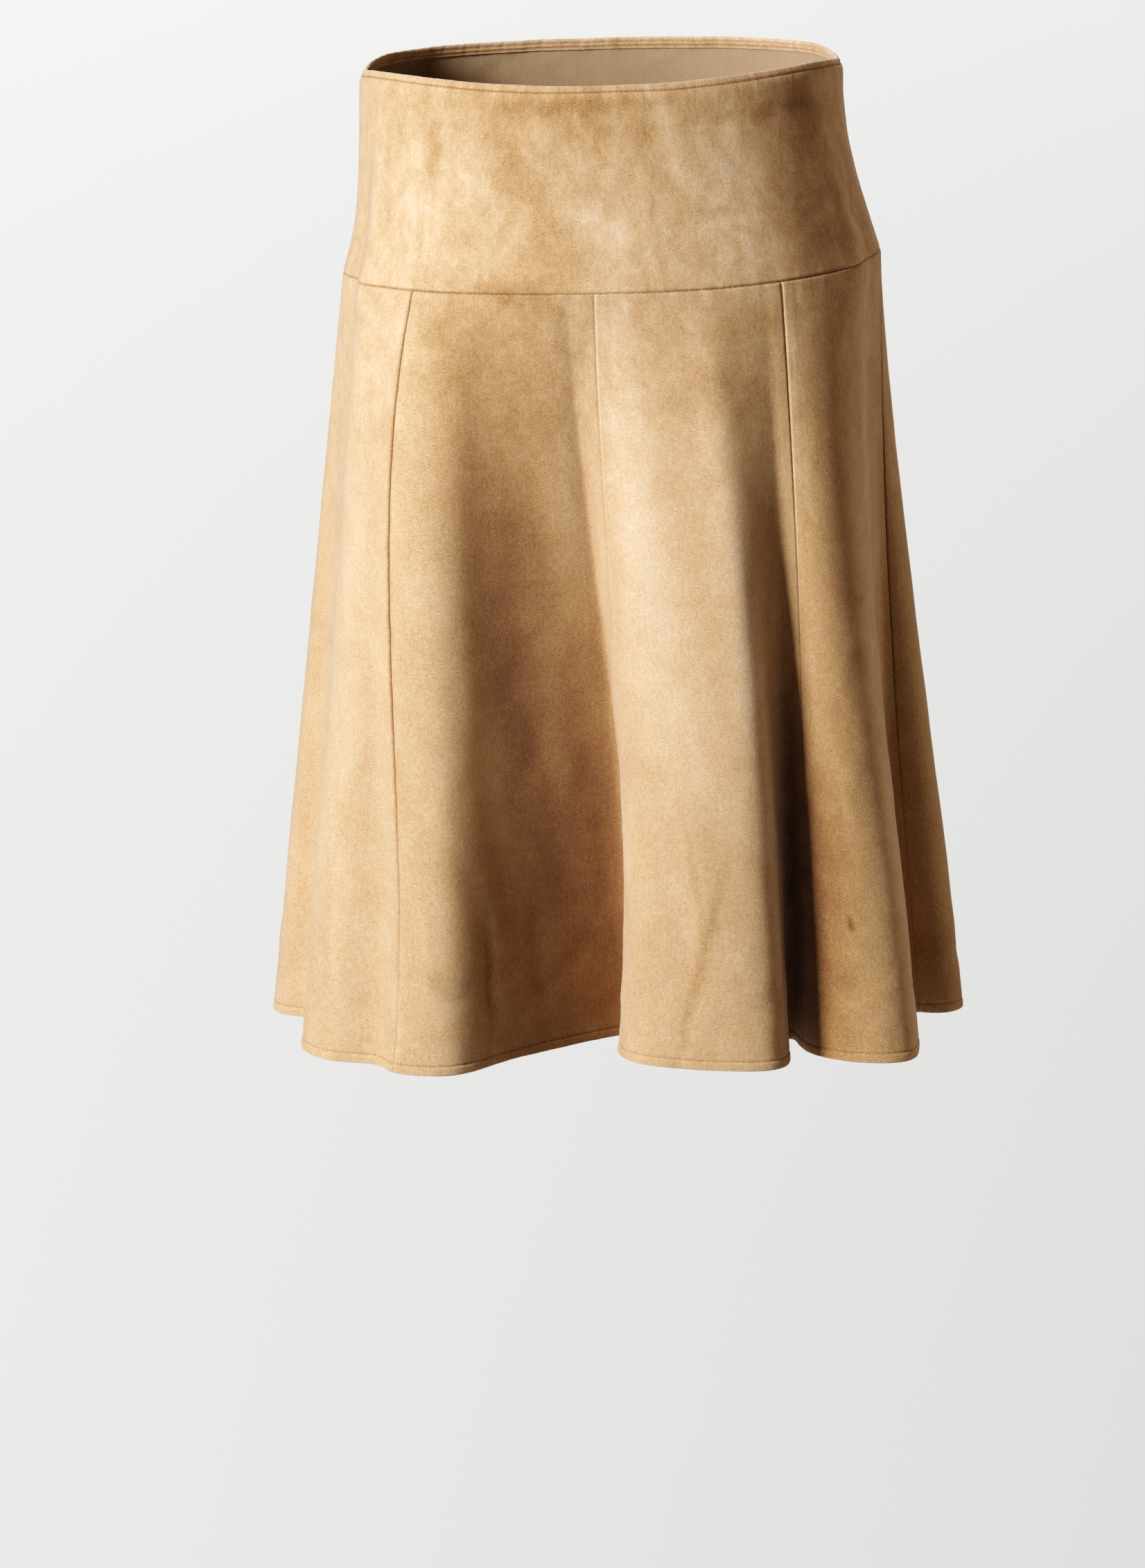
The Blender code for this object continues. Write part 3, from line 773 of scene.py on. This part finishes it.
def panel(name, outer, inner, cut, tone, turned_rows):
    """A panel as one closed sheet between its outer and inner grids of points. turned_rows are the rows
    whose inner side shows the face of the cloth, because the edge is turned in."""
    high, wide = outer.shape[:2]
    count = high * wide
    index = np.arange(count).reshape(high, wide)
    quads = np.stack([index[:-1, :-1], index[1:, :-1], index[1:, 1:], index[:-1, 1:]], axis=-1)
    quads = quads.reshape(-1, 4)
    rims = []
    for edge in (index[0], index[::-1, 0], index[-1, ::-1], index[:, -1]):
        ahead, behind = edge[1:], edge[:-1]
        rims.append(np.column_stack([behind, ahead, ahead + count, behind + count]))
    faces = np.vstack([quads, quads[:, ::-1] + count, *rims])
    points = np.vstack([outer.reshape(-1, 3), inner.reshape(-1, 3)])
    mesh = bpy.data.meshes.new(name)
    mesh.from_pydata(points.tolist(), [], faces.tolist())
    mesh.materials.append(suede_face)
    mesh.materials.append(suede_back)
    side = np.zeros(len(faces), dtype=np.int32)
    row_of = np.repeat(np.arange(high - 1), wide - 1)
    side[len(quads) : 2 * len(quads)] = ~np.isin(row_of, turned_rows)
    mesh.polygons.foreach_set("material_index", side)
    corners = cut.reshape(-1, 2)[faces.ravel() % count]
    mesh.uv_layers.new(name="Cut").uv.foreach_set("vector", corners.astype(np.float32).ravel())
    handled = 1 - UNTOUCHED * smooth_step((-outer[:, :, 2] - TOUCHED_DROP) / TOUCHED_FADE)
    for attribute, values in (("tone_mark", tone), ("handled", handled)):
        data = mesh.attributes.new(attribute, "FLOAT", "POINT").data
        data.foreach_set("value", np.tile(values.ravel(), 2).astype(np.float32))
    made = add_object(name, mesh)
    mesh.set_sharp_from_angle(angle=math.radians(SHARP_EDGE))
    return made


def panel_shares(first, last, edge_distances, width, count):
    """Shares across a panel from seam first to seam last, crowded at both edges."""
    edges = np.array(edge_distances) * MM / width
    middle = np.linspace(first, last, count + 1)
    middle = middle[(middle > first + edges[-1] * 1.4) & (middle < last - edges[-1] * 1.4)]
    return np.concatenate([first + edges, middle, last - edges[::-1]])


def padded(shares):
    """The shares and one just past each end, so that normals at a seam are those of the whole cloth."""
    step = 0.004
    return np.concatenate([[shares[0] - step], shares, [shares[-1] + step]])


def wall(rows, relief, thickness):
    """Outer and inner points of a wall: rows moved out by relief along their normals, thickness deep. Its
    sides stop half the seam gap short of the seams."""
    normals = normals_of(rows)
    outer = rows + normals * relief[:, :, None]
    inner = outer - normals * thickness[:, :, None]
    along = unit(rows[:, 2:] - rows[:, :-2])
    for grid in (outer, inner):
        grid[:, 1] += along[:, 0] * (SEAM_GAP / 2)
        grid[:, -2] -= along[:, -1] * (SEAM_GAP / 2)
    return outer[:, 1:-1], inner[:, 1:-1]


def turned_edge(distance, turn, thick):
    """Thickness of cloth near its turned edge, and how far the rounded edge draws the outer face back."""
    edge = np.sqrt(np.clip(1 - np.clip(1 - distance / (thick / 2), 0, 1) ** 2, 0.004, 1))
    thickness = CLOTH + (thick - CLOTH) * smooth_step((turn + TURN_STEP / 2 - distance) / TURN_STEP)
    return thickness * edge, (1 - edge) * thick / 2


def pucker(kind, place, distance, start):
    """Height of a pucker at a place along the stitches that pull it in and a distance from them."""
    return kind.height * MM * flutter(place, kind.wave * MM, start) * np.exp(-distance / (kind.reach * MM))


def hip_seam_relief(shares, distance):
    """Pucker and groove of the hip seam, in the yoke above it and in the gores below it."""
    uneven = 1 + 0.30 * flutter(shares * HIP_PITCH, 4.2 * MM, 2.0)
    sunk = groove(distance, HIP_SEAM_SINK * uneven)
    return pucker(HIP_PUCKER, shares * HIP_PITCH, distance, 0.8) - sunk


def hip_seam_shade(shares, distance):
    """Painted shade in the hip seam's groove, heavier where its stitches pull in more."""
    pull = np.clip(0.85 + 0.45 * flutter(shares * HIP_PITCH, 2.9 * MM, 1.1), 0.3, 1.2)
    return pull * near(distance, SEAM_SHADE_REACH)


def gore_surface(shares):
    """The gores' outer face at these shares: its levels and rows, then their relief, thickness and tone."""
    hem_levels = 1 - np.array(HEM_ROWS) * MM / GORE_LENGTH
    seam_levels = np.array(GROOVE_ROWS) * MM / GORE_LENGTH
    start, end = seam_levels[-1], hem_levels[0]
    middle = np.linspace(start, end, int((end - start) * GORE_LENGTH / ROW_SPACING))[1:-1]
    levels = np.concatenate([seam_levels, middle, hem_levels])
    rows = gore_rows(shares, levels)
    drops = np.broadcast_to((YOKE_DROP + levels * GORE_LENGTH)[:, None], rows.shape[:2])
    below_seam = levels[:, None] * GORE_LENGTH
    above_hem = (1 - levels[:, None]) * GORE_LENGTH
    above_stitches = above_hem - HEM_STITCH_HEIGHT
    widths = np.array([gore_width(shares, level) for level in levels])
    passed = np.mod(shares, 1)[None, :]
    seam = np.where(passed < 0.5, np.floor(shares), np.floor(shares) + 1).astype(int) % len(GORES)
    from_seam = np.minimum(passed, 1 - passed) * widths
    hanging = smooth_step((levels - SEAM_FADE_START) / SEAM_FADE)[:, None]
    relief = crease_relief(shares[None, :], drops, widths)
    wave = shares[None, :] + 0.2 * flutter(drops, 0.21, 1)
    relief += GORE_WAVE * flutter(wave, 1 / 3, 0.4) * levels[:, None]
    relief += ALLOWANCE_RISE * smooth_step((ALLOWANCE + ALLOWANCE_FADE / 2 - from_seam) / ALLOWANCE_FADE)
    relief += pucker(SEAM_PUCKER, drops, from_seam, 1.9 * seam)
    relief -= groove(from_seam, np.array(SEAM_SINKS)[seam] * MM * (1 - 0.45 * hanging))
    relief += hip_seam_relief(shares, below_seam)
    relief += HEM_PUFF * smooth_step(-above_stitches / HEM_PUFF_RISE)
    relief -= STITCH_SINK * near(above_stitches, STITCH_GROOVE)
    relief += pucker(HEM_PUCKER, shares * HEM_PITCH, above_hem, 0.3)
    thickness, drawn_back = turned_edge(above_hem, HEM_TURN, HEM_THICKNESS)
    relief -= drawn_back
    fade = 1 - 0.95 * hanging
    # Painted shade in the grooves of the upright seams and the hip seam, and along the sunk row of hem
    # stitches.
    shade = np.array(SEAM_SHADES)[seam] * fade * near(from_seam, SEAM_SHADE_REACH)
    shade = np.maximum(shade, hip_seam_shade(shares, below_seam))
    shade = np.maximum(shade, 0.15 * near(above_stitches, 0.6 * MM))
    # Painted highlight on the lit left lip of some seams.
    lip = near(from_seam - LIP_PLACE, LIP_REACH) * (passed < 0.5)
    tone = nap_and_painted_light_tone(shares[None, :], drops, widths)
    tone += np.array(SEAM_LIP_HIGHLIGHTS)[seam] * lip * fade
    tone -= SEAM_SHADE * shade
    tone += 0.16 * near(above_hem, EDGE_PALE_REACH)
    return levels, rows, relief, thickness, tone


def laid_flat(across, drops, place):
    """Where a piece's points lie in the flat cut, in metres. Each piece has a place of its own there, so
    that no two share the same marks."""
    across = np.broadcast_to(across, (len(drops), np.shape(across)[-1]))
    down = np.broadcast_to(-drops[:, None], across.shape)
    return np.stack([across + place[0], down + place[1]], axis=-1)


def allowance(name, rows, cut, depth, tone):
    """A strip of seam allowance pressed flat inside the skirt, depth metres in from the outer face."""
    rows, depth, tone = rows[:, 1:-1], depth[:, 1:-1], tone[:, 1:-1]
    normals = normals_of(rows)
    outer = rows - normals * depth[:, :, None]
    return panel(name, outer, outer - normals * ALLOWANCE_THICKNESS, cut, tone, np.arange(len(rows)))


for number, name in enumerate(GORES):
    width, hip_width = HEM_WIDTHS[number], HIP_WIDTHS[number]
    shares = panel_shares(number, number + 1, GROOVE_COLUMNS, width * MEAN_WIDTH, COLUMNS_PER_GORE)
    levels, rows, relief, thickness, tone = gore_surface(padded(shares))
    outer, inner = wall(rows, relief, thickness)
    widths = hip_width + (width - hip_width) * levels[:, None]
    cut = laid_flat((shares - number - 0.5) * widths, levels * GORE_LENGTH, (number, 0))
    turned = np.nonzero((1 - levels[:-1]) * GORE_LENGTH < HEM_TURN)[0]
    gore = panel(name + "_cloth", outer, inner, cut, tone[:, 1:-1], turned)
    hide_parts(name)
    row = int(np.argmin(np.abs((1 - levels) * GORE_LENGTH - HEM_STITCH_HEIGHT)))
    normals = normals_of(outer)[row]
    hem_stitches = sew(name + "_hem_stitches", outer[row], normals, HEM_STITCH, HEM_STITCH_LENGTH)

    # The allowance of the seam at the gore's right edge, pressed open behind both gores.
    across = np.array(ALLOWANCE_ACROSS) * MM
    before = across / (HEM_WIDTHS[number - 1] * MEAN_WIDTH)
    after = across / (width * MEAN_WIDTH)
    shares = padded(number + np.where(across < 0, before, after))
    levels, rows, relief, thickness, tone = gore_surface(shares)
    above_hem = (1 - levels) * GORE_LENGTH
    kept = np.nonzero((levels * GORE_LENGTH > 0.6 * MM) & (above_hem > HEM_TURN + HEM_CLEAR))[0]
    depth = CLOTH + ALLOWANCE_CLEAR - relief[kept]
    cut = laid_flat(across, levels[kept] * GORE_LENGTH, (20 + number, 0))
    strip = allowance(name + "_seam_allowance", rows[kept], cut, depth, tone[kept])

# --- The yoke ----------------------------------------------
# Two fitted panels round the hips, front and back, seamed at the sides, whose upper edge is turned in and
# stitched close to the edge. They carry the gores at the hip seam.
YOKES = [("yoke_front", 0, 4), ("yoke_back", 4, 8)]
WAIST_THICKNESS = 2.5 * MM
WAIST_TURN = 7.5 * MM
WAIST_STITCH_DROP = 4.0 * MM
WAIST_STITCH = 2.4  # pitch and length of the waist's stitches, in millimetres
WAIST_STITCH_LENGTH = 1.6
WAIST_STITCH_SINK = 1.3 * STITCH_SINK
WAIST_PITCH = 0.11
WAIST_PUCKER = Pucker(0.22, 9, 8)
WAIST_PUFF = 0.45 * MM
WAIST_PUFF_RISE = 1.5 * MM
YOKE_WAVE = 0.30 * MM
SIDE_SEAM_SINK = 1.1 * MM
YOKE_MEAN_WIDTH = 0.95  # of the yoke, as a share of its width at the hip seam
HIP_STRIP_ROWS = [9, 6.5, 4, 2, 0.9, 0]
HIP_STRIP_DEPTH = 1.05 * MM  # the hip seam's allowance lies inside those of the upright seams
YOKE_ROW_SPACING = 2.6 * MM
YOKE_COLUMNS = 330
WAIST_ROWS = [
    *(0, 0.05, 0.18, 0.4, 0.7, 1.1, 1.6, 2.2, 2.8, 3.3),
    *(3.7, 4.0, 4.3, 4.7, 5.3, 6.2, 7.2, 7.7, 8.4, 9.6),
]


def yoke_rows(shares, drops):
    """Points of the yoke's outer face at these shares and drops."""
    rows = []
    for drop in drops:
        ring = yoke_ring(drop, shares)
        rows.append(np.column_stack([ring, yoke_height(ring, drop)]))
    return np.array(rows)


def yoke_surface(shares):
    """The yoke's outer face at these shares: its drops and rows, then their relief, thickness and tone."""
    waist = np.array(WAIST_ROWS) * MM
    seam = YOKE_DROP - np.array(GROOVE_ROWS[::-1]) * MM
    middle = np.linspace(waist[-1], seam[0], int((seam[0] - waist[-1]) / YOKE_ROW_SPACING))[1:-1]
    drops = np.concatenate([waist, middle, seam])
    rows = yoke_rows(shares, drops)
    drop = np.broadcast_to(drops[:, None], rows.shape[:2])
    widths = np.broadcast_to(gore_width(shares, 0) * YOKE_MEAN_WIDTH, rows.shape[:2])
    above_seam = YOKE_DROP - drop
    below_stitches = drop - WAIST_STITCH_DROP
    from_side = np.abs(np.mod(shares + 2, FRONT_GORES) - 2)[None, :] * widths
    relief = crease_relief(shares[None, :], drop, widths)
    relief += YOKE_WAVE * flutter(shares[None, :] + 0.3 * flutter(drop, 0.09, 1), 0.61, 1.4)
    relief -= groove(from_side, SIDE_SEAM_SINK)
    relief += hip_seam_relief(shares, above_seam)
    relief += WAIST_PUFF * smooth_step(-below_stitches / WAIST_PUFF_RISE)
    relief -= WAIST_STITCH_SINK * near(below_stitches, STITCH_GROOVE)
    relief += pucker(WAIST_PUCKER, shares * WAIST_PITCH, drop, 0.3)
    thickness, drawn_back = turned_edge(drop, WAIST_TURN, WAIST_THICKNESS)
    relief -= drawn_back
    # Painted shade in the grooves of the side seam and the hip seam, and along the sunk row of waist
    # stitches.
    shade = np.maximum(near(from_side, SEAM_SHADE_REACH), hip_seam_shade(shares, above_seam))
    shade = np.maximum(shade, 0.55 * near(below_stitches, 0.5 * MM))
    tone = nap_and_painted_light_tone(shares[None, :], drop, widths)
    tone -= SEAM_SHADE * shade
    tone += 0.12 * near(drop, EDGE_PALE_REACH)
    return drops, rows, relief, thickness, tone


for name, first, last in YOKES:
    width = HIP_WIDTHS[first:last].sum()
    gore_pitch = width / (last - first)
    shares = panel_shares(first, last, GROOVE_COLUMNS, gore_pitch, YOKE_COLUMNS)
    around = (shares - first) * gore_pitch
    shares = padded(shares)
    drops, rows, relief, thickness, tone = yoke_surface(shares)
    outer, inner = wall(rows, relief, thickness)
    outer[-1, :, 2] += SEAM_GAP / 2
    inner[-1, :, 2] += SEAM_GAP / 2
    cut = laid_flat(around, drops, (0, 3 + first))
    turned = np.nonzero(drops[:-1] < WAIST_TURN)[0]
    yoke = panel(name + "_cloth", outer, inner, cut, tone[:, 1:-1], turned)
    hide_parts(name)
    row = int(np.argmin(np.abs(drops - WAIST_STITCH_DROP)))
    normals = normals_of(outer)[row]
    waist_stitches = sew(name + "_waist_stitches", outer[row], normals, WAIST_STITCH, WAIST_STITCH_LENGTH)

    # The allowance of the hip seam, pressed flat behind the yoke and the gores.
    above, below = np.array(HIP_STRIP_ROWS) * MM, np.array(HIP_STRIP_ROWS[::-1][1:]) * MM
    rows = np.vstack([yoke_rows(shares, YOKE_DROP - above), gore_rows(shares, below / GORE_LENGTH)])
    from_seam = np.concatenate([-above, below])
    depth = CLOTH + HIP_STRIP_DEPTH + groove(from_seam, HIP_SEAM_SINK)[:, None] + np.zeros(len(shares))
    cut = laid_flat(around, from_seam, (0, 30 + first))
    strip = allowance(name + "_seam_allowance", rows, cut, depth, np.full(depth.shape, 0.45))

    # The allowance of the side seam at the panel's right edge.
    across = np.array(ALLOWANCE_ACROSS) * MM
    shares = padded(first + across / gore_pitch / YOKE_MEAN_WIDTH)
    drops, rows, relief, thickness, tone = yoke_surface(shares)
    kept = np.nonzero((drops > WAIST_TURN + HEM_CLEAR) & (drops < YOKE_DROP - 9.5 * MM))[0]
    depth = CLOTH + ALLOWANCE_CLEAR - relief[kept]
    cut = laid_flat(across, drops[kept], (40 + first, 0))
    side = allowance(name + "_side_allowance", rows[kept], cut, depth, tone[kept])

# --- The studio --------------------------------------------
# A pale floor and background, one large soft light from the front left, and little fill. The camera sees the
# floor as a painted glow, brighter far off and to the left where the studio's light would fall; other rays
# meet plain grey paint.
FLOOR_HEIGHT = -1.06
FLOOR_RADIUS = 40
PALE = (1.0, 0.995, 0.985, 1.0)
PAINT = (0.30, 0.29, 0.28, 1.0)
WARM = (1.0, 0.93, 0.85, 1.0)
BACKGROUND = 0.95
FILL = 0.07
FLOOR_NEAREST = 3.6  # distances from the camera along the floor, in metres
FLOOR_NEAR = 4.0
FLOOR_FAR = 14.0
NEAR_GLOW = 0.790
FAR_GLOW = 0.965
GLOW_ASIDE = -0.70  # how fast the floor's painted glow darkens to the right
DIMMEST = 0.70
BRIGHTEST = 1.02
CAMERA_PLACE = (-0.019, -4.0, 0.47)
CAMERA_PITCH = 13.504
CAMERA_LENS = 138.29
SENSOR_WIDTH = 36
SKIRT_MIDDLE = -0.33


def split_rays(tree, to_camera, to_rest, output):
    """Shows one shader to the camera and lights the scene with the other."""
    seen = node(tree, "ShaderNodeLightPath", (-400, 200))
    mix = node(tree, "ShaderNodeMixShader", (0, 0), {"Fac": seen.outputs["Is Camera Ray"]})
    feed(mix, {1: to_rest.outputs[0], 2: to_camera.outputs[0]})
    node(tree, output, (200, 0), {"Surface": mix.outputs[0]})


bpy.ops.object.select_all(action="DESELECT")
bpy.ops.mesh.primitive_circle_add(
    vertices=96, radius=FLOOR_RADIUS, fill_type="NGON", location=(0, 0, FLOOR_HEIGHT)
)
floor = bpy.context.active_object
floor.name = "floor"
paint = bpy.data.materials.new("floor_glow_and_paint")
paint.use_nodes = True
tree = paint.node_tree
tree.nodes.clear()
# Painted light: the glow the camera sees grows brighter farther off and to the left, as a lit backdrop
# would.
place = node(tree, "ShaderNodeTexCoord", (-1400, 0))
axes = node(tree, "ShaderNodeSeparateXYZ", (-1200, 0), {0: place.outputs["Object"]})
ahead = maths(tree, "ADD", (-1100, -100), axes.outputs["Y"], -CAMERA_PLACE[1])
away = maths(tree, "MAXIMUM", (-1000, -100), ahead, FLOOR_NEAREST)
aside = maths(tree, "DIVIDE", (-800, 0), axes.outputs["X"], away)
fade = node(tree, "ShaderNodeMapRange", (-800, -200), {"Value": away})
feed(fade, {"From Min": FLOOR_FAR, "From Max": FLOOR_NEAR, "To Min": FAR_GLOW, "To Max": NEAR_GLOW})
level = maths(tree, "MULTIPLY_ADD", (-600, 0), aside, GLOW_ASIDE, fade.outputs["Result"])
held = node(tree, "ShaderNodeClamp", (-400, 0), {"Value": level, "Min": DIMMEST, "Max": BRIGHTEST})
glow = node(tree, "ShaderNodeEmission", (-200, 0), {"Color": PALE, "Strength": held.outputs[0]})
matt = node(tree, "ShaderNodeBsdfDiffuse", (-200, -200), {"Color": PAINT})
split_rays(tree, glow, matt, "ShaderNodeOutputMaterial")
floor.data.materials.append(paint)

world = bpy.data.worlds.new("studio")
bpy.context.scene.world = world
world.use_nodes = True
tree = world.node_tree
tree.nodes.clear()
pale = node(tree, "ShaderNodeBackground", (-200, 0), {"Color": PALE, "Strength": BACKGROUND})
fill = node(tree, "ShaderNodeBackground", (-200, -200), {"Color": WARM, "Strength": FILL})
split_rays(tree, pale, fill, "ShaderNodeOutputWorld")


def softbox(name, azimuth, elevation, distance, size, power, colour=(1, 1, 1)):
    """A square area light round the skirt's middle; azimuth 0 is in front of it and 90 to its left (+X)."""
    light = bpy.data.lights.new(name, "AREA")
    light.shape = "SQUARE"
    light.size = size
    light.energy = power
    light.color = colour
    turn, rise = math.radians(azimuth), math.radians(elevation)
    lamp = bpy.data.objects.new(name, light)
    lamp.location = (
        distance * math.sin(turn) * math.cos(rise),
        -distance * math.cos(turn) * math.cos(rise),
        SKIRT_MIDDLE + distance * math.sin(rise),
    )
    lamp.rotation_euler = (math.pi / 2 - rise, 0, turn)
    lamp.visible_camera = False
    bpy.context.scene.collection.objects.link(lamp)


softbox("key_light", -50, 22, 3.0, 0.8, 176, (0.98, 1.0, 1.07))
softbox("side_fill", 104, 8, 3.0, 1.4, 26, (1, 0.84, 0.66))
softbox("back_light", 172, 30, 3.0, 1.6, 55)

lens = bpy.data.cameras.new("camera")
lens.lens = CAMERA_LENS
lens.sensor_width = SENSOR_WIDTH
camera = bpy.data.objects.new("camera", lens)
camera.location = CAMERA_PLACE
camera.rotation_euler = (math.radians(90 - CAMERA_PITCH), 0, 0)
bpy.context.scene.collection.objects.link(camera)
bpy.context.scene.camera = camera

# The picture is developed with a little more contrast than the eye sees, as a studio's are.
look = bpy.context.scene.view_settings
look.view_transform = "Standard"
look.use_curve_mapping = True
tones = look.curve_mapping.curves[3].points
for light, shown in [(0.02, 0.012), (0.05, 0.042), (0.10, 0.105), (0.20, 0.24), (0.40, 0.46), (0.70, 0.72)]:
    tones.new(light, shown)
tones[-1].location = (1.0, 0.90)
look.curve_mapping.update()
